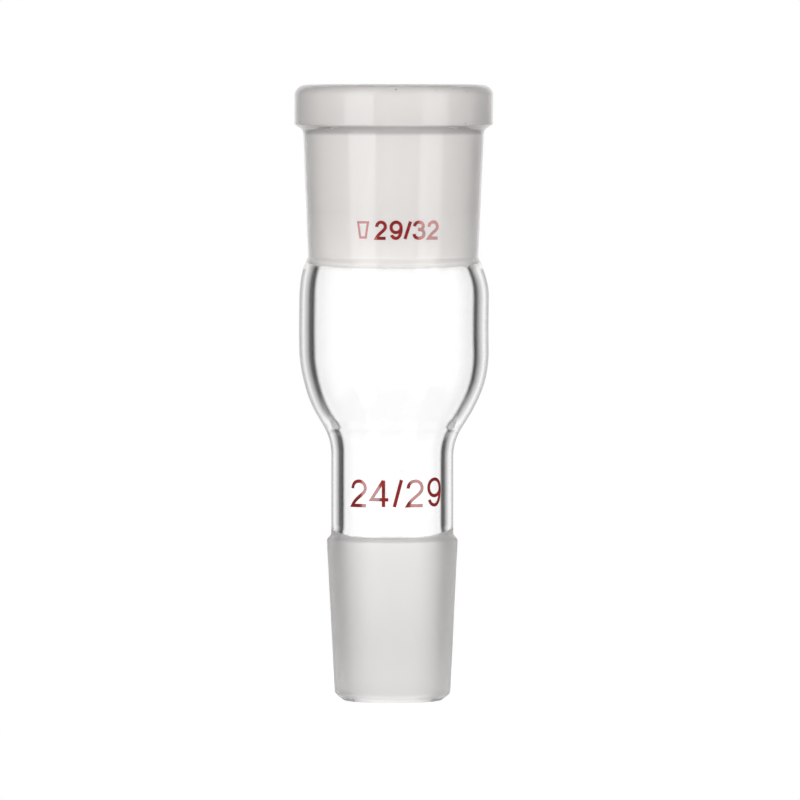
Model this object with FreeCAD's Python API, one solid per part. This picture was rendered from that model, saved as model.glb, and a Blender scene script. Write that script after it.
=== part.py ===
import FreeCAD, Part
import math
import os

# Expansion adapter of clear borosilicate glass, blown and ground as one piece. A wide tapered
# socket with a thick collar opens at the top, a swollen bulb below it necks down to a narrower
# tube, and the tube ends in a tapered cone. The inside of the socket and the outside of the
# cone are ground to a standard taper, so that each makes a gas-tight joint.
# Millimetres, +Z up along the axis. The origin is the centre of the ring that it stands on.

# Ground tapers. Both joints share one taper, counted on the diameter.
JOINT_TAPER = 0.1
SOCKET_MOUTH_DIAMETER = 29.2
SOCKET_GROUND_LENGTH = 32.0
CONE_WIDE_DIAMETER = 24.0
CONE_LENGTH = 29.0
CONE_TIP_CLEAR = 0.45

# Tip of the cone, melted smooth below the ground zone.
TIP_BEVEL_HEIGHT = 1.2
TIP_BEVEL_WIDTH = 1.45
TIP_BEVEL_ROUND = 1.0
TIP_OUTER_ROUND = 0.2
TIP_INNER_ROUND = 0.25
CONE_WALL = 2.2
CONE_EDGE_ROUND = 0.6

# Neck between the cone and the bulb.
NECK_DIAMETER = 22.4
NECK_WALL = 2.0
NECK_LENGTH = 17.25
NECK_FOOT_HEIGHT = 0.9
NECK_FOOT_ROUND = 0.4
NECK_TOP_ROUND = 10.0
BORE_STEP_HEIGHT = 3.8
BORE_STEP_ROUND = 4.0

# Bulb, with the flare that leads into it from the neck. Its own wall is thinner than the
# neck's root, where the glass gathers and leaves a soft crease round the inside.
BULB_DIAMETER = 34.8
BULB_WALL = 2.4
BULB_STRAIGHT = 19.6
BULB_LOWER_ROUND = 24.0
BULB_UPPER_ROUND = 17.0
BULB_SHOULDER_HEIGHT = 3.9
FLARE_ANGLE = 31.4
CREASE_RISE = 3.0
CREASE_WIDENING = 1.25
CREASE_ROUND = 3.0
CREASE_FOOT = 3.0
CREASE_FOOT_ROUND = 11.0
BORE_FLARE_ANGLE = 34.0

# Socket body and the collar that stiffens its mouth.
SOCKET_WALL_AT_COLLAR = 2.4
SOCKET_WALL_AT_FOOT = 2.6
SOCKET_FOOT_RISE = 0.5
SOCKET_FOOT_ROUND = 0.6
SOCKET_BORE_STEP = 0.7
SOCKET_BORE_STEP_ROUND = 1.1
COLLAR_WALL = 3.6
COLLAR_HEIGHT = 7.3
COLLAR_BEVEL_HEIGHT = 1.0
COLLAR_FOOT_ROUND = 1.2
COLLAR_EDGE_ROUND = 0.4
LIP_OUTER_ROUND = 2.0
LIP_INNER_ROUND = 0.9

TAPER_PER_SIDE = JOINT_TAPER / 2
FLARE_SLOPE = math.tan(math.radians(FLARE_ANGLE))
BORE_FLARE_SLOPE = math.tan(math.radians(BORE_FLARE_ANGLE))

# Radii.
mouth_radius = SOCKET_MOUTH_DIAMETER / 2
ground_end_radius = mouth_radius - TAPER_PER_SIDE * SOCKET_GROUND_LENGTH
collar_radius = mouth_radius + COLLAR_WALL
bulb_radius = BULB_DIAMETER / 2
bulb_bore_radius = bulb_radius - BULB_WALL
neck_radius = NECK_DIAMETER / 2
neck_bore_radius = neck_radius - NECK_WALL
crease_radius = neck_bore_radius + CREASE_WIDENING
cone_wide_radius = CONE_WIDE_DIAMETER / 2

# Heights, from the tip up.
cone_top_z = CONE_TIP_CLEAR + CONE_LENGTH
neck_foot_z = cone_top_z + NECK_FOOT_HEIGHT
neck_top_z = neck_foot_z + NECK_LENGTH
crease_z = neck_top_z + CREASE_RISE
flare_top_z = neck_top_z + (bulb_radius - neck_radius) / FLARE_SLOPE
bore_flare_top_z = crease_z + (bulb_bore_radius - crease_radius) / BORE_FLARE_SLOPE
shoulder_z = flare_top_z + BULB_STRAIGHT
socket_foot_z = shoulder_z + BULB_SHOULDER_HEIGHT
ground_end_z = socket_foot_z - SOCKET_FOOT_RISE
rim_z = ground_end_z + SOCKET_GROUND_LENGTH
collar_edge_z = rim_z - COLLAR_HEIGHT
collar_foot_z = collar_edge_z - COLLAR_BEVEL_HEIGHT


def socket_radius(z):
    """Radius of the socket's ground taper at a height."""
    return mouth_radius - TAPER_PER_SIDE * (rim_z - z)


def cone_radius(z):
    """Radius of the cone's ground taper at a height."""
    return cone_wide_radius - TAPER_PER_SIDE * (cone_top_z - z)


def outer_corners():
    """The outside of the glass from the tip up to the lip, as corners (radius, height, round)."""
    return [
        (cone_radius(TIP_BEVEL_HEIGHT) - TIP_BEVEL_WIDTH, 0.0, TIP_OUTER_ROUND),
        (cone_radius(TIP_BEVEL_HEIGHT), TIP_BEVEL_HEIGHT, TIP_BEVEL_ROUND),
        (cone_wide_radius, cone_top_z, CONE_EDGE_ROUND),
        (neck_radius, neck_foot_z, NECK_FOOT_ROUND),
        (neck_radius, neck_top_z, NECK_TOP_ROUND),
        (bulb_radius, flare_top_z, BULB_LOWER_ROUND),
        (bulb_radius, shoulder_z, BULB_UPPER_ROUND),
        (socket_radius(socket_foot_z) + SOCKET_WALL_AT_FOOT, socket_foot_z, SOCKET_FOOT_ROUND),
        (socket_radius(collar_foot_z) + SOCKET_WALL_AT_COLLAR, collar_foot_z, COLLAR_FOOT_ROUND),
        (collar_radius, collar_edge_z, COLLAR_EDGE_ROUND),
        (collar_radius, rim_z, LIP_OUTER_ROUND),
    ]


def inner_corners():
    """The passage through the glass from the mouth down to the tip, as the same kind of corners."""
    step_radius = ground_end_radius + SOCKET_BORE_STEP
    step_z = ground_end_z - SOCKET_BORE_STEP
    bore_step_top_z = neck_foot_z + BORE_STEP_HEIGHT / 2
    bore_step_foot_z = neck_foot_z - BORE_STEP_HEIGHT / 2
    return [
        (mouth_radius, rim_z, LIP_INNER_ROUND),
        (ground_end_radius, ground_end_z, SOCKET_BORE_STEP_ROUND),
        (step_radius, step_z, SOCKET_BORE_STEP_ROUND),
        (bulb_bore_radius, ground_end_z - BULB_SHOULDER_HEIGHT, BULB_UPPER_ROUND - BULB_WALL),
        (bulb_bore_radius, bore_flare_top_z, BULB_LOWER_ROUND - BULB_WALL),
        (crease_radius, crease_z, CREASE_ROUND),
        (neck_bore_radius, crease_z - CREASE_FOOT, CREASE_FOOT_ROUND),
        (neck_bore_radius, bore_step_top_z, BORE_STEP_ROUND),
        (cone_radius(bore_step_foot_z) - CONE_WALL, bore_step_foot_z, BORE_STEP_ROUND),
        (cone_radius(0) - CONE_WALL, 0.0, TIP_INNER_ROUND),
    ]


def fitted_reaches(points, rounds):
    """How far each corner's round reaches along its two stretches, with both rounds of a short
    stretch cut down in the same share until they fit on it. Half of each turn comes with it."""
    count = len(points)
    half_turns = []
    for i, point in enumerate(points):
        before = point - points[i - 1]
        after = points[(i + 1) % count] - point
        half_turns.append(before.getAngle(after) / 2)
    wanted = [radius * math.tan(half) for radius, half in zip(rounds, half_turns)]
    fitted = list(wanted)
    for i, point in enumerate(points):
        following = (i + 1) % count
        stretch = (points[following] - point).Length
        share = min(1.0, stretch / (wanted[i] + wanted[following]))
        fitted[i] = min(fitted[i], wanted[i] * share)
        fitted[following] = min(fitted[following], wanted[following] * share)
    return fitted, half_turns


def rounded_outline(corners):
    """A closed wire of straight stretches joined by tangent arcs, in the XZ plane."""
    points = [FreeCAD.Vector(radius, 0, z) for radius, z, _ in corners]
    reaches, half_turns = fitted_reaches(points, [corner[2] for corner in corners])
    arcs = []
    for i, point in enumerate(points):
        to_before = (points[i - 1] - point).normalize()
        to_after = (points[(i + 1) % len(points)] - point).normalize()
        to_centre = (to_before + to_after).normalize()
        radius = reaches[i] / math.tan(half_turns[i])
        apex = radius / math.cos(half_turns[i]) - radius
        arcs.append(Part.Arc(
            point + to_before * reaches[i],
            point + to_centre * apex,
            point + to_after * reaches[i],
        ))
    same_place = 1e-5
    edges = []
    for i, arc in enumerate(arcs):
        following = arcs[(i + 1) % len(arcs)]
        edges.append(arc.toShape())
        if not arc.EndPoint.isEqual(following.StartPoint, same_place):
            edges.append(Part.LineSegment(arc.EndPoint, following.StartPoint).toShape())
    return Part.Wire(edges)


def adapter_body():
    """The whole adapter: its wall section turned once round the axis."""
    section = Part.Face(rounded_outline(outer_corners() + inner_corners()))
    return section.revolve(FreeCAD.Vector(0, 0, 0), FreeCAD.Vector(0, 0, 1), 360)


def main():
    os.makedirs("parts", exist_ok=True)
    body = adapter_body()
    body.exportStep(os.path.join("parts", "adapter_body.step"))
    box = body.optimalBoundingBox()
    print(f"adapter_body: {box.XLength:.2f} x {box.YLength:.2f} x {box.ZLength:.2f} mm,",
          f"{body.Volume / 1000:.3f} cm3, centre of mass at {body.CenterOfMass.z:.2f} mm")


main()
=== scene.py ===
import math

import bmesh
import bpy
import numpy as np
from mathutils import Matrix, Vector

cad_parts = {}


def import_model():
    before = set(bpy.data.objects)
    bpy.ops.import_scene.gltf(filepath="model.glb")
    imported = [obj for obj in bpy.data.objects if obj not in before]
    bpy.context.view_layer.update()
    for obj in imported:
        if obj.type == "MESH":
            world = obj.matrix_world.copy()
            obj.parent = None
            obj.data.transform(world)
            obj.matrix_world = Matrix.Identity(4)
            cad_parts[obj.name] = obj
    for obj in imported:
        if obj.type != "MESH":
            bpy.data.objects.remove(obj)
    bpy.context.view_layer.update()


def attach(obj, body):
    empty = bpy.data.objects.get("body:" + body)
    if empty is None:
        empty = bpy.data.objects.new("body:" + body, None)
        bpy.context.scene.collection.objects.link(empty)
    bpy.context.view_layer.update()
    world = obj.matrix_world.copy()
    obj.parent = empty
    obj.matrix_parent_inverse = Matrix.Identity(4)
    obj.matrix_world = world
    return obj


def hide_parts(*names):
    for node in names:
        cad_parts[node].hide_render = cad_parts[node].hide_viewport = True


# Dresses the expansion adapter: clear glass with its true wall, the frosted surfaces of the two
# ground joints, the milky outside of the socket, the fired-on size marks and a few specks of dust,
# on a pale floor in soft studio light.
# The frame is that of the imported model: +Z up the axis, the marks face -Y. Sizes are in
# millimetres, apart from those of the camera and the floor, which are in metres.

MM = 0.001
BODY = "root"
GLASS_NODE = "adapter_body"
GLASS_IOR = 1.47

# The glass repeats the sizes of the CAD section.
JOINT_TAPER = 0.1
SOCKET_MOUTH_DIAMETER = 29.2
SOCKET_GROUND_LENGTH = 32.0
CONE_WIDE_DIAMETER = 24.0
CONE_LENGTH = 29.0
CONE_TIP_CLEAR = 0.45
TIP_BEVEL_HEIGHT = 1.2
TIP_BEVEL_WIDTH = 1.45
TIP_BEVEL_ROUND = 1.0
TIP_OUTER_ROUND = 0.2
TIP_INNER_ROUND = 0.25
CONE_WALL = 2.2
CONE_EDGE_ROUND = 0.6
NECK_DIAMETER = 22.4
NECK_WALL = 2.0
NECK_LENGTH = 17.25
NECK_FOOT_HEIGHT = 0.9
NECK_FOOT_ROUND = 0.4
NECK_TOP_ROUND = 10.0
BORE_STEP_HEIGHT = 3.8
BORE_STEP_ROUND = 4.0
BULB_DIAMETER = 34.8
BULB_WALL = 2.4
BULB_STRAIGHT = 19.6
BULB_LOWER_ROUND = 24.0
BULB_UPPER_ROUND = 17.0
BULB_SHOULDER_HEIGHT = 3.9
FLARE_ANGLE = 31.4
CREASE_RISE = 3.0
CREASE_WIDENING = 1.25
CREASE_ROUND = 3.0
CREASE_FOOT = 3.0
CREASE_FOOT_ROUND = 11.0
BORE_FLARE_ANGLE = 34.0
SOCKET_WALL_AT_COLLAR = 2.4
SOCKET_WALL_AT_FOOT = 2.6
SOCKET_FOOT_RISE = 0.5
SOCKET_FOOT_ROUND = 0.6
SOCKET_BORE_STEP = 0.7
SOCKET_BORE_STEP_ROUND = 1.1
COLLAR_WALL = 3.6
COLLAR_HEIGHT = 7.3
COLLAR_BEVEL_HEIGHT = 1.0
COLLAR_FOOT_ROUND = 1.2
COLLAR_EDGE_ROUND = 0.4
LIP_OUTER_ROUND = 2.0
LIP_INNER_ROUND = 0.9

TAPER_PER_SIDE = JOINT_TAPER / 2
FLARE_SLOPE = math.tan(math.radians(FLARE_ANGLE))
BORE_FLARE_SLOPE = math.tan(math.radians(BORE_FLARE_ANGLE))
MOUTH_RADIUS = SOCKET_MOUTH_DIAMETER / 2
GROUND_END_RADIUS = MOUTH_RADIUS - TAPER_PER_SIDE * SOCKET_GROUND_LENGTH
COLLAR_RADIUS = MOUTH_RADIUS + COLLAR_WALL
BULB_RADIUS = BULB_DIAMETER / 2
BULB_BORE_RADIUS = BULB_RADIUS - BULB_WALL
NECK_RADIUS = NECK_DIAMETER / 2
NECK_BORE_RADIUS = NECK_RADIUS - NECK_WALL
CREASE_RADIUS = NECK_BORE_RADIUS + CREASE_WIDENING
CONE_WIDE_RADIUS = CONE_WIDE_DIAMETER / 2
CONE_TOP_Z = CONE_TIP_CLEAR + CONE_LENGTH
NECK_FOOT_Z = CONE_TOP_Z + NECK_FOOT_HEIGHT
NECK_TOP_Z = NECK_FOOT_Z + NECK_LENGTH
CREASE_Z = NECK_TOP_Z + CREASE_RISE
FLARE_TOP_Z = NECK_TOP_Z + (BULB_RADIUS - NECK_RADIUS) / FLARE_SLOPE
BORE_FLARE_TOP_Z = CREASE_Z + (BULB_BORE_RADIUS - CREASE_RADIUS) / BORE_FLARE_SLOPE
SHOULDER_Z = FLARE_TOP_Z + BULB_STRAIGHT
SOCKET_FOOT_Z = SHOULDER_Z + BULB_SHOULDER_HEIGHT
GROUND_END_Z = SOCKET_FOOT_Z - SOCKET_FOOT_RISE
RIM_Z = GROUND_END_Z + SOCKET_GROUND_LENGTH
COLLAR_EDGE_Z = RIM_Z - COLLAR_HEIGHT
COLLAR_FOOT_Z = COLLAR_EDGE_Z - COLLAR_BEVEL_HEIGHT

# Where the frosted surfaces end. The socket's frost ends on the slope inside its foot and dips
# towards the front. The cone's starts above the melted tip with a ragged border. It spreads a
# little past the ground length, where its border leans up towards +X and rises at both sides.
SOCKET_FROST_END_Z = 79.45
SOCKET_FROST_DIP = 0.35
CONE_FROST_START_Z = 0.6
CONE_FROST_RAGGED = 0.2
CONE_FROST_SPREAD = 0.55
CONE_FROST_TILT = 0.15
CONE_FROST_SIDE_RISE = 1.60

# The ragged border, as waves round the glass: their number, phase and size.
RAGGED_WAVES = [(2, 0.4, 0.35), (3, 2.1, 0.25), (5, 4.0, 0.2), (9, 1.3, 0.15), (14, 5.2, 0.12),
                (23, 0.9, 0.08)]

# Frosted surfaces: colour, roughness and the share of light that they let through.
CONE_FROST = ((0.94, 0.925, 0.915), 0.5, 0.85)
SOCKET_FROST = ((1.0, 0.99, 0.98), 0.48, 0.60)

# The smooth outside of the socket looks milky from its foot up. By height: the share of light that it
# lets through clearly, and how bright its colour is. The darkening below the collar and at the lip is
# painted shade: the colour stands in for the shade that the thick glass there takes. The milky part
# starts lower at the front, by the tilt for each millimetre of depth. By how far the surface turns away
# from the eye: how bright its colour is, painted shade that darkens its edges.
MILK_START_Z = 79.75
MILK_CLEARNESS = [(MILK_START_Z, 1.0), (80.35, 0.60), (80.9, 0.42), (83.0, 0.46), (90.0, 0.56)]
MILK_TILT = 0.037
MILK_PAINTED_SHADE = [(103.5, 1.0), (104.1, 0.60), (104.7, 0.45), (105.1, 0.39), (105.6, 0.94),
                   (111.2, 0.94), (112.7, 0.83)]
MILK_EDGE_PAINTED_SHADE = [(0.35, 1.0), (0.60, 0.92), (0.85, 0.80)]
MILK_COLOUR = (0.97, 0.945, 0.93)
MILK_ROUGHNESS = 0.02

# Painted shade on the clear glass: how dark its colour is made, by how far its surface turns away from
# the eye. It draws the fine dark line round the edge of the glass.
EDGE_PAINTED_SHADE = [(0.69, 1.0), (0.72, 0.75), (0.757, 0.40), (0.80, 0.12), (0.84, 0.02)]

# The hand-blown wall leans: sideways offsets of the axis, by height.
LEAN = [(0.0, -0.20), (28.0, -0.25), (44.0, -0.25), (53.0, -0.02), (59.0, 0.14), (68.0, 0.03),
        (75.0, 0.10), (79.5, -0.08), (92.0, -0.04), (103.0, 0.0), (112.0, 0.05)]

# How finely the glass is meshed, below which length a stretch of the section counts as none, and
# how finely the section is searched for a height.
RING_POINTS = 256
LONGEST_STEP = 0.9
WIDEST_TURN = math.radians(9)
FEWEST_ARC_STEPS = 4
SHORTEST_SPAN = 1e-6
SEARCH_STEPS = 20000

# A border slides along the section, and the mesh rows near it go along, less and less up to the
# reach. Round the cone's upper border, which slides the furthest, the rows lie closer together. No
# other row lies nearer than the gap to a border.
FROST_SLIDE_REACH = 1.1
CONE_SLIDE_REACH = 2.0
CONE_ROW_STEP = 0.12
BORDER_GAP = 0.1

# The surfaces of the glass, in the order of its materials.
CLEAR, GROUND_CONE, GROUND_SOCKET, MILKY = range(4)

# How often light may bounce: through both walls and along them it takes many.
GLASS_BOUNCES = 24

# Camera: the lens and the place that give the photograph's framing.
FRAME_PIXELS = 800
SENSOR_MM = 36.0
FOCAL_PIXELS = 8192.0
CAMERA_DISTANCE = 1.5
CAMERA_HEIGHT = 0.118
CAMERA_PITCH = math.radians(2.405)
CAMERA_SIDE_STEP = 0.00117
CAMERA_CLIP = (0.1, 20.0)


def socket_radius(z):
    """Radius of the socket's ground bore at a height."""
    return MOUTH_RADIUS - TAPER_PER_SIDE * (RIM_Z - z)


def cone_radius(z):
    """Radius of the ground cone at a height."""
    return CONE_WIDE_RADIUS - TAPER_PER_SIDE * (CONE_TOP_Z - z)


def outer_corners():
    """The outside of the glass from the tip up to the lip, as corners (radius, height, round)."""
    return [
        (cone_radius(TIP_BEVEL_HEIGHT) - TIP_BEVEL_WIDTH, 0.0, TIP_OUTER_ROUND),
        (cone_radius(TIP_BEVEL_HEIGHT), TIP_BEVEL_HEIGHT, TIP_BEVEL_ROUND),
        (CONE_WIDE_RADIUS, CONE_TOP_Z, CONE_EDGE_ROUND),
        (NECK_RADIUS, NECK_FOOT_Z, NECK_FOOT_ROUND),
        (NECK_RADIUS, NECK_TOP_Z, NECK_TOP_ROUND),
        (BULB_RADIUS, FLARE_TOP_Z, BULB_LOWER_ROUND),
        (BULB_RADIUS, SHOULDER_Z, BULB_UPPER_ROUND),
        (socket_radius(SOCKET_FOOT_Z) + SOCKET_WALL_AT_FOOT, SOCKET_FOOT_Z, SOCKET_FOOT_ROUND),
        (socket_radius(COLLAR_FOOT_Z) + SOCKET_WALL_AT_COLLAR, COLLAR_FOOT_Z, COLLAR_FOOT_ROUND),
        (COLLAR_RADIUS, COLLAR_EDGE_Z, COLLAR_EDGE_ROUND),
        (COLLAR_RADIUS, RIM_Z, LIP_OUTER_ROUND),
    ]


def inner_corners():
    """The passage through the glass from the mouth down to the tip, as the same kind of corners."""
    bore_step_top_z = NECK_FOOT_Z + BORE_STEP_HEIGHT / 2
    bore_step_foot_z = NECK_FOOT_Z - BORE_STEP_HEIGHT / 2
    return [
        (MOUTH_RADIUS, RIM_Z, LIP_INNER_ROUND),
        (GROUND_END_RADIUS, GROUND_END_Z, SOCKET_BORE_STEP_ROUND),
        (GROUND_END_RADIUS + SOCKET_BORE_STEP, GROUND_END_Z - SOCKET_BORE_STEP, SOCKET_BORE_STEP_ROUND),
        (BULB_BORE_RADIUS, GROUND_END_Z - BULB_SHOULDER_HEIGHT, BULB_UPPER_ROUND - BULB_WALL),
        (BULB_BORE_RADIUS, BORE_FLARE_TOP_Z, BULB_LOWER_ROUND - BULB_WALL),
        (CREASE_RADIUS, CREASE_Z, CREASE_ROUND),
        (NECK_BORE_RADIUS, CREASE_Z - CREASE_FOOT, CREASE_FOOT_ROUND),
        (NECK_BORE_RADIUS, bore_step_top_z, BORE_STEP_ROUND),
        (cone_radius(bore_step_foot_z) - CONE_WALL, bore_step_foot_z, BORE_STEP_ROUND),
        (cone_radius(0) - CONE_WALL, 0.0, TIP_INNER_ROUND),
    ]


def turn_between(before, after):
    """Signed turn from one direction to the next, positive to the left."""
    return math.atan2(before[0] * after[1] - before[1] * after[0], before @ after)


class Section:
    """The closed section of the wall, as straight stretches joined by tangent arcs. It is read by
    the length along it, from the tip up the outside and down the inside."""

    def __init__(self, corners):
        points = [np.array(corner[:2]) for corner in corners]
        count = len(points)
        lengths = [np.linalg.norm(points[(i + 1) % count] - points[i]) for i in range(count)]
        along = [(points[(i + 1) % count] - points[i]) / lengths[i] for i in range(count)]
        turns = [turn_between(along[i - 1], along[i]) for i in range(count)]
        wanted = [corners[i][2] * math.tan(abs(turns[i]) / 2) for i in range(count)]
        reaches = list(wanted)
        # Two rounds that need more than the stretch between them both give way.
        for i in range(count):
            following = (i + 1) % count
            share = min(1.0, lengths[i] / (wanted[i] + wanted[following]))
            reaches[i] = min(reaches[i], wanted[i] * share)
            reaches[following] = min(reaches[following], wanted[following] * share)
        origins = []
        headings = []
        curves = []
        spans = []
        for i in range(count):
            radius = reaches[i] / math.tan(abs(turns[i]) / 2)
            origins.append(points[i] - along[i - 1] * reaches[i])
            headings.append(along[i - 1])
            curves.append(math.copysign(1 / radius, turns[i]))
            spans.append(radius * abs(turns[i]))
            origins.append(points[i] + along[i] * reaches[i])
            headings.append(along[i])
            curves.append(0.0)
            spans.append(max(0.0, lengths[i] - reaches[i] - reaches[(i + 1) % count]))
        self.origins = np.array(origins)
        self.headings = np.array(headings)
        self.curves = np.array(curves)
        self.spans = np.array(spans)
        self.ends = np.cumsum(self.spans)
        self.length = self.ends[-1]

    def at(self, place):
        """Radius, height and outward normal at lengths along the section."""
        place = np.mod(place, self.length)
        piece = np.minimum(np.searchsorted(self.ends, place, side="right"), len(self.spans) - 1)
        way = place - (self.ends[piece] - self.spans[piece])
        turn = self.curves[piece] * way
        ahead = way * np.sinc(turn / math.pi)
        aside = way * np.sinc(turn / (2 * math.pi)) * np.sin(turn / 2)
        heading_r = self.headings[piece, 0]
        heading_z = self.headings[piece, 1]
        radius = self.origins[piece, 0] + heading_r * ahead - heading_z * aside
        height = self.origins[piece, 1] + heading_z * ahead + heading_r * aside
        tangent_r = heading_r * np.cos(turn) - heading_z * np.sin(turn)
        tangent_z = heading_r * np.sin(turn) + heading_z * np.cos(turn)
        return radius, height, (tangent_z, -tangent_r)

    def places(self):
        """Where the mesh has its rows: close enough together for every arc and stretch."""
        rows = []
        for span, curve, end in zip(self.spans, self.curves, self.ends):
            if span < SHORTEST_SPAN:
                continue
            steps = math.ceil(span / LONGEST_STEP)
            if curve:
                steps = max(steps, FEWEST_ARC_STEPS, math.ceil(span * abs(curve) / WIDEST_TURN))
            rows.extend(end - span + span * k / steps for k in range(steps))
        return rows

    def find(self, height, inside):
        """The length along the section at which the outside or the inside passes a height."""
        steps = np.linspace(0, self.length, SEARCH_STEPS, endpoint=False)
        heights = self.at(steps)[1]
        top = steps[np.argmax(heights)]
        wanted = (steps > top) if inside else (steps <= top)
        return steps[wanted][np.argmin(np.abs(heights[wanted] - height))]


def soft_steps(x, table):
    """Reads a short table with smooth passages between its entries, and the slope there."""
    xs = np.array([entry[0] for entry in table])
    ys = np.array([entry[1] for entry in table])
    index = np.clip(np.searchsorted(xs, x, side="right") - 1, 0, len(xs) - 2)
    width = xs[index + 1] - xs[index]
    share = np.clip((x - xs[index]) / width, 0, 1)
    rise = ys[index + 1] - ys[index]
    value = ys[index] + rise * share * share * (3 - 2 * share)
    slope = rise / width * 6 * share * (1 - share)
    return value, slope


def ragged(azimuth):
    """An uneven line round the glass, from about -1 to 1."""
    return sum(size * np.sin(count * azimuth + phase) for count, phase, size in RAGGED_WAVES)


def glass_borders(section):
    """The lengths along the section at which the surface of the glass changes."""
    return {
        "cone_foot": section.find(CONE_FROST_START_Z, inside=False),
        "cone_top": section.find(CONE_TOP_Z + CONE_FROST_SPREAD, inside=False),
        "socket_foot": section.find(MILK_START_Z - MILK_TILT * BULB_RADIUS, inside=False),
        "mouth": section.find(RIM_Z, inside=True),
        "ground_end": section.find(SOCKET_FROST_END_Z, inside=True),
    }


def glass_rows(section, borders):
    """The lengths along the section at which the mesh has its rows, with one on each border."""
    cone_top = borders["cone_top"]
    close_rows = np.arange(cone_top - CONE_SLIDE_REACH, cone_top + CONE_SLIDE_REACH, CONE_ROW_STEP)
    rows = [row for row in section.places() if abs(row - cone_top) > CONE_SLIDE_REACH]
    rows = [row for row in [*rows, *close_rows]
            if min(abs(row - border) for border in borders.values()) > BORDER_GAP]
    return np.array(sorted([*rows, *borders.values()]))


def slide_rows(rows, azimuth, borders):
    """Bends the rows near the frosted borders, so that each border runs as it should."""
    cone_top_slide = CONE_FROST_TILT * np.cos(azimuth) + CONE_FROST_SIDE_RISE * np.cos(azimuth) ** 2
    slides = [(borders["cone_foot"], CONE_FROST_RAGGED * ragged(azimuth), FROST_SLIDE_REACH),
              (borders["cone_top"], cone_top_slide, CONE_SLIDE_REACH),
              (borders["ground_end"], -SOCKET_FROST_DIP * np.sin(azimuth), FROST_SLIDE_REACH)]
    place = rows + np.zeros_like(azimuth)
    for border, slide, reach in slides:
        nearness = np.clip(1 - np.abs(rows - border) / reach, 0, 1)
        place = place + slide * nearness
    return place


def surface_at(row, borders):
    """Which surface the glass has between a row and the next."""
    if borders["cone_foot"] <= row < borders["cone_top"]:
        return GROUND_CONE
    if borders["socket_foot"] <= row < borders["mouth"]:
        return MILKY
    if borders["mouth"] <= row < borders["ground_end"]:
        return GROUND_SOCKET
    return CLEAR


def glass_mesh():
    """The section turned round the axis, with exact normals, since the wall bends light."""
    section = Section(outer_corners() + inner_corners())
    borders = glass_borders(section)
    rows = glass_rows(section, borders)
    azimuth = np.linspace(0, 2 * math.pi, RING_POINTS, endpoint=False)[None, :]
    radius, height, normal = section.at(slide_rows(rows[:, None], azimuth, borders))

    sideways, tilt = soft_steps(height, LEAN)
    coords = np.stack([radius * np.cos(azimuth) + sideways, radius * np.sin(azimuth), height], axis=-1)
    normals = np.stack([normal[0] * np.cos(azimuth), normal[0] * np.sin(azimuth), normal[1]], axis=-1)
    normals[..., 2] -= normals[..., 0] * tilt
    normals /= np.linalg.norm(normals, axis=-1, keepdims=True)

    faces = []
    slots = []
    for i, row in enumerate(rows):
        above = (i + 1) % len(rows)
        for j in range(RING_POINTS):
            beside = (j + 1) % RING_POINTS
            faces.append((i * RING_POINTS + j, i * RING_POINTS + beside,
                          above * RING_POINTS + beside, above * RING_POINTS + j))
        slots.extend([surface_at(row, borders)] * RING_POINTS)
    mesh = bpy.data.meshes.new("adapter_glass")
    mesh.from_pydata((coords * MM).reshape(-1, 3).tolist(), [], faces)
    mesh.update()
    mesh.polygons.foreach_set("use_smooth", [True] * len(faces))
    mesh.polygons.foreach_set("material_index", slots)
    mesh.normals_split_custom_set_from_vertices(normals.reshape(-1, 3).tolist())
    return mesh


def principled(name):
    material = bpy.data.materials.new(name)
    material.use_nodes = True
    return material, material.node_tree.nodes["Principled BSDF"]


class ValueNodes:
    """Shorthand for chains of math nodes in one node tree."""

    def __init__(self, tree):
        self.tree = tree

    def math(self, operation, *values):
        node = self.tree.nodes.new("ShaderNodeMath")
        node.operation = operation
        for socket, value in zip(node.inputs, values):
            if isinstance(value, (int, float)):
                socket.default_value = value
            else:
                self.tree.links.new(value, socket)
        return node.outputs[0]

    def ramp(self, value, zero_at, one_at):
        """A straight rise from 0 to 1, flat beyond both ends."""
        node = self.tree.nodes.new("ShaderNodeMapRange")
        self.tree.links.new(value, node.inputs["Value"])
        node.inputs["From Min"].default_value = zero_at
        node.inputs["From Max"].default_value = one_at
        return node.outputs["Result"]


def colour_ramp(tree, table, colour):
    """A ramp from a table of places between 0 and 1 and shares of one colour."""
    ramp = tree.nodes.new("ShaderNodeValToRGB")
    stops = ramp.color_ramp.elements
    stops[0].position = table[0][0]
    stops[1].position = table[-1][0]
    for place, _ in table[1:-1]:
        stops.new(place)
    for stop, (_, share) in zip(stops, table):
        stop.color = (*(share * channel for channel in colour), 1.0)
    return ramp


def ramp_by_height(tree, height, table, colour):
    """The same for a table of heights, read at a height in metres."""
    low = table[0][0]
    high = table[-1][0]
    climb = tree.nodes.new("ShaderNodeMapRange")
    climb.inputs["From Min"].default_value = low * MM
    climb.inputs["From Max"].default_value = high * MM
    tree.links.new(height, climb.inputs["Value"])
    ramp = colour_ramp(tree, [((z - low) / (high - low), share) for z, share in table], colour)
    tree.links.new(climb.outputs["Result"], ramp.inputs["Fac"])
    return ramp.outputs["Color"]


def clear_glass():
    """Clear glass whose colour is darkened where it is seen at a grazing angle: painted shade for the
    dark line round its edge.
    """
    material, shader = principled("clear_glass")
    shader.inputs["Roughness"].default_value = 0.0
    shader.inputs["IOR"].default_value = GLASS_IOR
    shader.inputs["Transmission Weight"].default_value = 1.0
    tree = material.node_tree
    # Painted shade: the colour darkens where the glass is seen at a grazing angle.
    layer = tree.nodes.new("ShaderNodeLayerWeight")
    ramp = colour_ramp(tree, EDGE_PAINTED_SHADE, (1.0, 1.0, 1.0))
    tree.links.new(layer.outputs["Facing"], ramp.inputs["Fac"])
    tree.links.new(ramp.outputs["Color"], shader.inputs["Base Color"])
    return material


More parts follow.
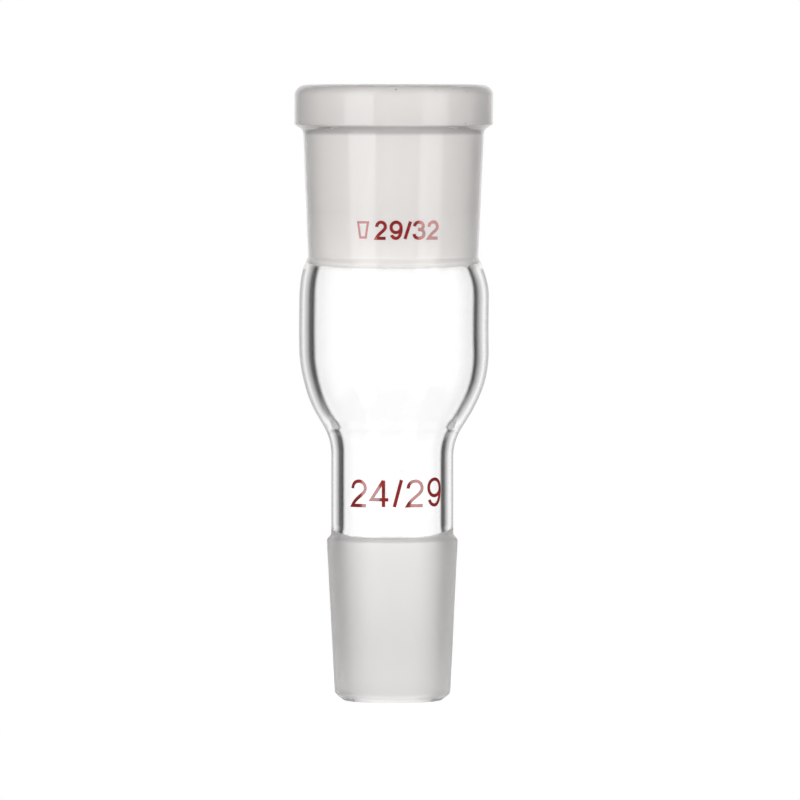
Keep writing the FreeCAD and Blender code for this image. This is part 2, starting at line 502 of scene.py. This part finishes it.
def ground_glass(name, colour, roughness, transmission):
    """Glass with an evenly frosted surface."""
    material, shader = principled(name)
    shader.inputs["Base Color"].default_value = (*colour, 1.0)
    shader.inputs["Roughness"].default_value = roughness
    shader.inputs["IOR"].default_value = GLASS_IOR
    shader.inputs["Transmission Weight"].default_value = transmission
    return material


def milky_glass():
    """The smooth outside of the socket. The frost behind it fills it with light. Its colour holds painted
    shade below the collar, at the lip and towards its edges.
    """
    material, shader = principled("milky_glass")
    shader.inputs["Roughness"].default_value = MILK_ROUGHNESS
    shader.inputs["IOR"].default_value = GLASS_IOR
    tree = material.node_tree
    place = tree.nodes.new("ShaderNodeTexCoord").outputs["Object"]
    split = tree.nodes.new("ShaderNodeSeparateXYZ")
    tree.links.new(place, split.inputs[0])
    height = split.outputs[2]
    tilted = ValueNodes(tree).math("MULTIPLY_ADD", split.outputs[1], -MILK_TILT, height)
    clearness = ramp_by_height(tree, tilted, MILK_CLEARNESS, (1.0, 1.0, 1.0))
    tree.links.new(clearness, shader.inputs["Transmission Weight"])
    # Painted shade by height: darker in the groove below the collar and at the top of the lip.
    colour = ramp_by_height(tree, height, MILK_PAINTED_SHADE, MILK_COLOUR)
    # Painted shade towards the edges, where the surface turns away from the eye.
    layer = tree.nodes.new("ShaderNodeLayerWeight")
    edge = colour_ramp(tree, MILK_EDGE_PAINTED_SHADE, (1.0, 1.0, 1.0))
    tree.links.new(layer.outputs["Facing"], edge.inputs["Fac"])
    product = tree.nodes.new("ShaderNodeVectorMath")
    product.operation = "MULTIPLY"
    tree.links.new(colour, product.inputs[0])
    tree.links.new(edge.outputs["Color"], product.inputs[1])
    tree.links.new(product.outputs["Vector"], shader.inputs["Base Color"])
    return material


def build_glass():
    glass = bpy.data.objects.new("adapter_glass", glass_mesh())
    bpy.context.scene.collection.objects.link(glass)
    glass.data.materials.append(clear_glass())
    glass.data.materials.append(ground_glass("ground_cone", *CONE_FROST))
    glass.data.materials.append(ground_glass("ground_socket", *SOCKET_FROST))
    glass.data.materials.append(milky_glass())
    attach(glass, BODY)
    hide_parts(GLASS_NODE)


# Pen strokes of the size marks: cubic curves in a box 1 wide and 1 high, as a start point and then
# two handles and an end for each curve. A lone end point is a straight line.
PEN_STROKES = {
    "2": [[(0.03, 0.70), [(0.045, 0.89), (0.235, 1.0), (0.50, 1.0)],
           [(0.76, 1.0), (0.956, 0.88), (0.956, 0.71)], [(0.956, 0.47), (0.30, 0.36), (0.0, 0.0)],
           [(1.0, 0.0)]]],
    "3": [[(0.05, 0.74), [(0.08, 0.91), (0.26, 1.0), (0.50, 1.0)],
           [(0.76, 1.0), (0.92, 0.90), (0.92, 0.76)], [(0.92, 0.61), (0.76, 0.54), (0.42, 0.54)]],
          [(0.42, 0.54), [(0.79, 0.54), (1.0, 0.45), (1.0, 0.28)],
           [(1.0, 0.11), (0.79, 0.0), (0.50, 0.0)], [(0.21, 0.0), (0.03, 0.10), (0.0, 0.27)]]],
    "4": [[(1.0, 0.245), [(0.0, 0.245)], [(0.72, 1.02)]],
          [(0.72, 1.03), [(0.72, -0.05)]]],
    "9": [[(0.06, 0.21), [(0.12, 0.07), (0.29, 0.0), (0.50, 0.0)],
           [(0.82, 0.0), (1.0, 0.28), (1.0, 0.62)], [(1.0, 0.86), (0.80, 1.0), (0.51, 1.0)],
           [(0.21, 1.0), (0.0, 0.86), (0.0, 0.68)], [(0.0, 0.50), (0.20, 0.36), (0.49, 0.36)],
           [(0.74, 0.36), (0.95, 0.47), (0.985, 0.60)]]],
    "/": [[(0.0, -0.05), [(1.0, 1.05)]]],
    "taper": [[(0.0, 1.0), [(1.0, 1.0)], [(0.78, 0.0)], [(0.22, 0.0)], [(0.0, 1.0)]]],
}

# The two marks: each glyph with its left edge and width along the surface, counted from the front
# of the glass towards +X, then the heights of its foot and top.
SOCKET_MARK = [("taper", -6.55, 1.9, 85.1, 87.85), ("2", -3.08, 1.72, 84.98, 87.90),
               ("9", -0.38, 1.80, 84.98, 87.90), ("/", 2.13, 1.03, 84.98, 87.90),
               ("3", 3.81, 1.87, 84.98, 87.90), ("2", 6.61, 1.87, 84.98, 87.90)]
SOCKET_PEN = 0.60
TAPER_PEN = 0.42
CONE_MARK = [("2", -7.88, 2.95, 36.15, 40.6), ("4", -3.89, 3.2, 36.19, 40.67),
             ("/", 0.38, 1.31, 36.19, 40.67), ("2", 2.85, 2.97, 36.17, 40.65),
             ("9", 7.12, 2.77, 36.2, 40.9)]
CONE_PEN = 0.62
CURVE_STEPS = 16

# How far the ink stands out of the glass and reaches into it. Each further stroke of a glyph stands
# out a little more than the one before.
INK_RISE = 0.02
INK_DEPTH = 0.015
STROKE_RISE = 0.003

# The enamel, with dark and light patches from a noise whose scale is by the metre.
ENAMEL_ROUGHNESS = 0.12
ENAMEL_IOR = 2.2
ENAMEL_DARK = (0.20, 0.006, 0.007)
ENAMEL_LIGHT = (0.40, 0.016, 0.013)
ENAMEL_NOISE_RANGE = (0.35, 0.70)
ENAMEL_NOISE_SCALE = 700.0
ENAMEL_NOISE_DETAIL = 3.0


def curve_points(stroke):
    """A pen stroke as points close together, still in its own box."""
    points = [np.array(stroke[0])]
    for move in stroke[1:]:
        start = points[-1]
        handles = [np.array(handle) for handle in move]
        if len(handles) == 1:
            end = handles[0]
            handles = [start + (end - start) / 3, start + (end - start) * 2 / 3, end]
        for k in range(1, CURVE_STEPS + 1):
            t = k / CURVE_STEPS
            points.append((1 - t) ** 3 * start + 3 * t * (1 - t) ** 2 * handles[0]
                          + 3 * t * t * (1 - t) * handles[1] + t ** 3 * handles[2])
    return np.array(points)


def pen_edges(points, width):
    """Both edges of a pen stroke, mitred where it turns."""
    steps = np.diff(points, axis=0)
    steps /= np.linalg.norm(steps, axis=1, keepdims=True)
    sides = np.stack([-steps[:, 1], steps[:, 0]], axis=1)
    closed = np.allclose(points[0], points[-1])
    before = np.vstack([sides[-1:] if closed else sides[:1], sides])
    after = np.vstack([sides, sides[:1] if closed else sides[-1:]])
    mitre = (before + after) / (1 + np.sum(before * after, axis=1, keepdims=True))
    return points + mitre * width / 2, points - mitre * width / 2


def on_glass(place, radius_at, offset):
    """The point over a place along the surface of the leaning glass and a height."""
    along, height = place
    radius = radius_at(height)
    turn = along / radius - math.pi / 2
    sideways = float(soft_steps(height, LEAN)[0])
    return (radius + offset) * math.cos(turn) + sideways, (radius + offset) * math.sin(turn), height


def bar_faces(first, count):
    """The faces of a bar that has four corners at each of its points and is closed at its ends."""
    faces = []
    for k in range(count - 1):
        base = first + 4 * k
        for side in range(4):
            beside = (side + 1) % 4
            faces.append((base + side, base + beside, base + 4 + beside, base + 4 + side))
    last = first + 4 * (count - 1)
    faces.append((first + 3, first + 2, first + 1, first))
    faces.append((last, last + 1, last + 2, last + 3))
    return faces


def mark_mesh(name, glyphs, pen, radius_at):
    """A size mark as thin enamel bars that lie in the surface of the glass."""
    vertices = []
    faces = []
    for glyph, left, wide, foot, top in glyphs:
        for stroke_number, stroke in enumerate(PEN_STROKES[glyph]):
            points = curve_points(stroke) * [wide, top - foot] + [left, foot]
            edges = pen_edges(points, TAPER_PEN if glyph == "taper" else pen)
            rise = INK_RISE + STROKE_RISE * stroke_number
            faces += bar_faces(len(vertices), len(points))
            for near, far in zip(*edges):
                for place, offset in ((near, rise), (far, rise), (far, -INK_DEPTH), (near, -INK_DEPTH)):
                    vertices.append(on_glass(place, radius_at, offset))
    mesh = bpy.data.meshes.new(name)
    mesh.from_pydata([tuple(value * MM for value in vertex) for vertex in vertices], [], faces)
    mesh.update()
    return mesh


def red_enamel():
    """Glossy fired-on enamel, a little thicker in some places than in others."""
    material, shader = principled("red_enamel")
    shader.inputs["Roughness"].default_value = ENAMEL_ROUGHNESS
    shader.inputs["IOR"].default_value = ENAMEL_IOR
    tree = material.node_tree
    place = tree.nodes.new("ShaderNodeTexCoord")
    noise = tree.nodes.new("ShaderNodeTexNoise")
    noise.inputs["Scale"].default_value = ENAMEL_NOISE_SCALE
    noise.inputs["Detail"].default_value = ENAMEL_NOISE_DETAIL
    ramp = tree.nodes.new("ShaderNodeValToRGB")
    stops = ramp.color_ramp.elements
    for stop, position, colour in zip(stops, ENAMEL_NOISE_RANGE, (ENAMEL_DARK, ENAMEL_LIGHT)):
        stop.position = position
        stop.color = (*colour, 1.0)
    tree.links.new(place.outputs["Object"], noise.inputs["Vector"])
    tree.links.new(noise.outputs["Fac"], ramp.inputs["Fac"])
    tree.links.new(ramp.outputs["Color"], shader.inputs["Base Color"])
    return material


def socket_outside(z):
    """Outer radius of the socket between its foot and the collar."""
    low = socket_radius(SOCKET_FOOT_Z) + SOCKET_WALL_AT_FOOT
    high = socket_radius(COLLAR_FOOT_Z) + SOCKET_WALL_AT_COLLAR
    return low + (high - low) * (z - SOCKET_FOOT_Z) / (COLLAR_FOOT_Z - SOCKET_FOOT_Z)


def build_marks():
    enamel = red_enamel()
    marks = [("socket_size_mark", SOCKET_MARK, SOCKET_PEN, socket_outside),
             ("cone_size_mark", CONE_MARK, CONE_PEN, lambda z: NECK_RADIUS)]
    for name, glyphs, pen, radius_at in marks:
        mark = bpy.data.objects.new(name, mark_mesh(name, glyphs, pen, radius_at))
        bpy.context.scene.collection.objects.link(mark)
        mark.data.materials.append(enamel)
        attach(mark, BODY)


# Specks of dust on the collar and the lip: place along the surface from the front towards +X,
# height and size. The shape gives the depth, width and height of each as shares of its size.
DUST = [(14.6, 105.75, 0.42), (0.45, 111.9, 0.46), (11.8, 112.0, 0.32), (14.9, 111.6, 0.38),
        (7.9, 111.8, 0.28)]
DUST_SHAPE = (0.3, 1.0, 0.6)
DUST_COLOUR = (0.22, 0.19, 0.17)
DUST_ROUGHNESS = 0.8


def build_dust():
    """Small flattened balls that lie halfway in the glass."""
    material, shader = principled("dust")
    shader.inputs["Base Color"].default_value = (*DUST_COLOUR, 1.0)
    shader.inputs["Roughness"].default_value = DUST_ROUGHNESS
    section = Section(outer_corners() + inner_corners())
    shape = bmesh.new()
    for along, height, size in DUST:
        radius = section.at(section.find(height, inside=False))[0]
        turn = along / radius - math.pi / 2
        place = Vector((radius * math.cos(turn), radius * math.sin(turn), height)) * MM
        shares = Matrix.Diagonal((*DUST_SHAPE, 1.0))
        stand = Matrix.Translation(place) @ Matrix.Rotation(turn, 4, "Z") @ shares
        bmesh.ops.create_icosphere(shape, subdivisions=2, radius=size * MM / 2, matrix=stand)
    mesh = bpy.data.meshes.new("dust")
    shape.to_mesh(mesh)
    shape.free()
    mesh.materials.append(material)
    dust = bpy.data.objects.new("dust", mesh)
    bpy.context.scene.collection.objects.link(dust)
    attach(dust, BODY)


# Studio light, as a world that the glass sees: a lit sheet behind the object, which fades out to
# both sides, soft boxes at the front, paler panels further round, and a dim room. Angles are in
# degrees. Azimuth is counted from +X towards +Y, so the camera looks along 90. Some panels light the
# object and shine through the glass, but aren't mirrored in it: they have "reflected" False.
ROOM = 0.085
PANELS = [
    {"azimuths": [88.5], "half": 21, "fade": 25, "low": -50, "low_fade": 10, "high": 40, "high_fade": 14,
     "brightness": 1.07},
    {"azimuths": [228.5], "half": 17, "fade": 1.5, "low": -35, "low_fade": 6, "high": 50, "high_fade": 6,
     "brightness": 2.2},
    {"azimuths": [320], "half": 15, "fade": 1.5, "low": -25, "low_fade": 6, "high": 50, "high_fade": 6,
     "brightness": 2.0},
    {"azimuths": [180, 0], "half": 18, "fade": 14, "low": -25, "low_fade": 8, "high": 25, "high_fade": 10,
     "brightness": 0.8, "reflected": False},
    {"azimuths": [270], "half": 22, "fade": 14, "low": -35, "low_fade": 8, "high": 35, "high_fade": 10,
     "brightness": 1.15, "reflected": False},
    {"azimuths": [135, 45], "half": 22, "fade": 8, "low": -40, "low_fade": 4, "high": -18, "high_fade": 5,
     "brightness": 0.3},
]

# The level part of a direction, which divides it, is taken as no less than this.
LEAST_LEVEL = 1e-4


def panel_mask(nodes, x, y, elevation, azimuth, panel):
    """How much of a panel a direction sees, from 0 to 1."""
    middle = math.radians(azimuth)
    facing = nodes.math("ADD", nodes.math("MULTIPLY", x, math.cos(middle)),
                        nodes.math("MULTIPLY", y, math.sin(middle)))
    offset = nodes.math("ARCCOSINE", facing)
    across = nodes.ramp(offset, math.radians(panel["half"] + panel["fade"]), math.radians(panel["half"]))
    low = math.radians(panel["low"])
    above = nodes.ramp(elevation, low - math.radians(panel["low_fade"]), low)
    high = math.radians(panel["high"])
    below = nodes.ramp(elevation, high + math.radians(panel["high_fade"]), high)
    return nodes.math("MULTIPLY", across, nodes.math("MULTIPLY", above, below))


def build_world():
    world = bpy.data.worlds.new("studio")
    bpy.context.scene.world = world
    world.use_nodes = True
    tree = world.node_tree
    tree.nodes.clear()
    nodes = ValueNodes(tree)
    direction = tree.nodes.new("ShaderNodeTexCoord").outputs["Generated"]
    split = tree.nodes.new("ShaderNodeSeparateXYZ")
    tree.links.new(direction, split.inputs[0])
    elevation = nodes.math("ARCSINE", split.outputs[2])
    level = nodes.math("MAXIMUM", nodes.math("COSINE", elevation), LEAST_LEVEL)
    x = nodes.math("DIVIDE", split.outputs[0], level)
    y = nodes.math("DIVIDE", split.outputs[1], level)
    path = tree.nodes.new("ShaderNodeLightPath")
    not_through = nodes.math("SUBTRACT", 1.0, path.outputs["Is Transmission Ray"])
    reflected = nodes.math("MULTIPLY", path.outputs["Is Glossy Ray"], not_through)
    not_reflected = nodes.math("SUBTRACT", 1.0, reflected)
    light = ROOM
    for panel in PANELS:
        for azimuth in panel["azimuths"]:
            mask = panel_mask(nodes, x, y, elevation, azimuth, panel)
            lit = nodes.math("MULTIPLY", mask, panel["brightness"])
            if not panel.get("reflected", True):
                lit = nodes.math("MULTIPLY", lit, not_reflected)
            light = nodes.math("MAXIMUM", light, lit)
    # The camera sees plain white behind the object.
    white = nodes.math("SUBTRACT", 1.0, light)
    seen = nodes.math("ADD", nodes.math("MULTIPLY", path.outputs["Is Camera Ray"], white), light)
    background = tree.nodes.new("ShaderNodeBackground")
    background.inputs["Color"].default_value = (1.0, 1.0, 1.0, 1.0)
    tree.links.new(seen, background.inputs["Strength"])
    output = tree.nodes.new("ShaderNodeOutputWorld")
    tree.links.new(background.outputs[0], output.inputs["Surface"])


# Floor: white to the camera, dimmer in what the glass shows of it, though less so close under the
# cone. Near the glass it takes a faint shadow, and towards its rim it runs into the white
# background. Reach and fade are distances from the axis, where each change starts and ends.
FLOOR_RADIUS = 0.12
FLOOR_SIDES = 96
FLOOR_DROP = 0.00002
FLOOR_PAINT = 0.30
FLOOR_GLOW = 0.90
FLOOR_GLOW_IN_GLASS = 0.45
FLOOR_GLOW_UNDER_CONE = 0.72
FLOOR_GLOW_REACH = (0.015, 0.04)
FLOOR_FADE = (0.05, 0.10)


def pale_floor():
    material = bpy.data.materials.new("pale_floor")
    material.use_nodes = True
    tree = material.node_tree
    tree.nodes.clear()
    nodes = ValueNodes(tree)
    place = tree.nodes.new("ShaderNodeNewGeometry").outputs["Position"]
    distance = tree.nodes.new("ShaderNodeVectorMath")
    distance.operation = "LENGTH"
    tree.links.new(place, distance.inputs[0])
    rim = nodes.ramp(distance.outputs["Value"], *FLOOR_FADE)
    camera_ray = tree.nodes.new("ShaderNodeLightPath").outputs["Is Camera Ray"]
    glow_to_camera = nodes.math("ADD", FLOOR_GLOW, nodes.math("MULTIPLY", rim, 1.0 - FLOOR_GLOW))
    away = nodes.ramp(distance.outputs["Value"], *FLOOR_GLOW_REACH)
    glow_in_glass = nodes.math("SUBTRACT", FLOOR_GLOW_UNDER_CONE, nodes.math(
        "MULTIPLY", away, FLOOR_GLOW_UNDER_CONE - FLOOR_GLOW_IN_GLASS))
    other_ray = nodes.math("SUBTRACT", 1.0, camera_ray)
    glow = nodes.math("ADD", nodes.math("MULTIPLY", camera_ray, glow_to_camera),
                      nodes.math("MULTIPLY", other_ray, glow_in_glass))
    emission = tree.nodes.new("ShaderNodeEmission")
    tree.links.new(glow, emission.inputs["Strength"])
    paint = tree.nodes.new("ShaderNodeBsdfDiffuse")
    shade = nodes.math("MULTIPLY", nodes.math("SUBTRACT", 1.0, rim), FLOOR_PAINT)
    grey = tree.nodes.new("ShaderNodeCombineColor")
    for channel in grey.inputs[:3]:
        tree.links.new(shade, channel)
    tree.links.new(grey.outputs[0], paint.inputs["Color"])
    both = tree.nodes.new("ShaderNodeAddShader")
    tree.links.new(emission.outputs[0], both.inputs[0])
    tree.links.new(paint.outputs[0], both.inputs[1])
    output = tree.nodes.new("ShaderNodeOutputMaterial")
    tree.links.new(both.outputs[0], output.inputs["Surface"])
    return material


def build_floor():
    turns = [2 * math.pi * k / FLOOR_SIDES for k in range(FLOOR_SIDES)]
    ring = [(FLOOR_RADIUS * math.cos(turn), FLOOR_RADIUS * math.sin(turn), -FLOOR_DROP) for turn in turns]
    mesh = bpy.data.meshes.new("floor")
    mesh.from_pydata(ring, [], [tuple(range(FLOOR_SIDES))])
    mesh.materials.append(pale_floor())
    floor = bpy.data.objects.new("floor", mesh)
    bpy.context.scene.collection.objects.link(floor)


def build_camera():
    data = bpy.data.cameras.new("camera")
    data.sensor_width = SENSOR_MM
    data.lens = FOCAL_PIXELS / FRAME_PIXELS * SENSOR_MM
    data.clip_start, data.clip_end = CAMERA_CLIP
    camera = bpy.data.objects.new("camera", data)
    bpy.context.scene.collection.objects.link(camera)
    camera.location = Vector((CAMERA_SIDE_STEP, -CAMERA_DISTANCE, CAMERA_HEIGHT))
    camera.rotation_euler = (math.pi / 2 - CAMERA_PITCH, 0.0, 0.0)
    bpy.context.scene.camera = camera


def main():
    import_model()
    build_camera()
    build_glass()
    build_marks()
    build_dust()
    build_world()
    build_floor()
    scene = bpy.context.scene
    scene.view_settings.view_transform = "Standard"
    scene.cycles.max_bounces = GLASS_BOUNCES
    scene.cycles.transmission_bounces = GLASS_BOUNCES


main()
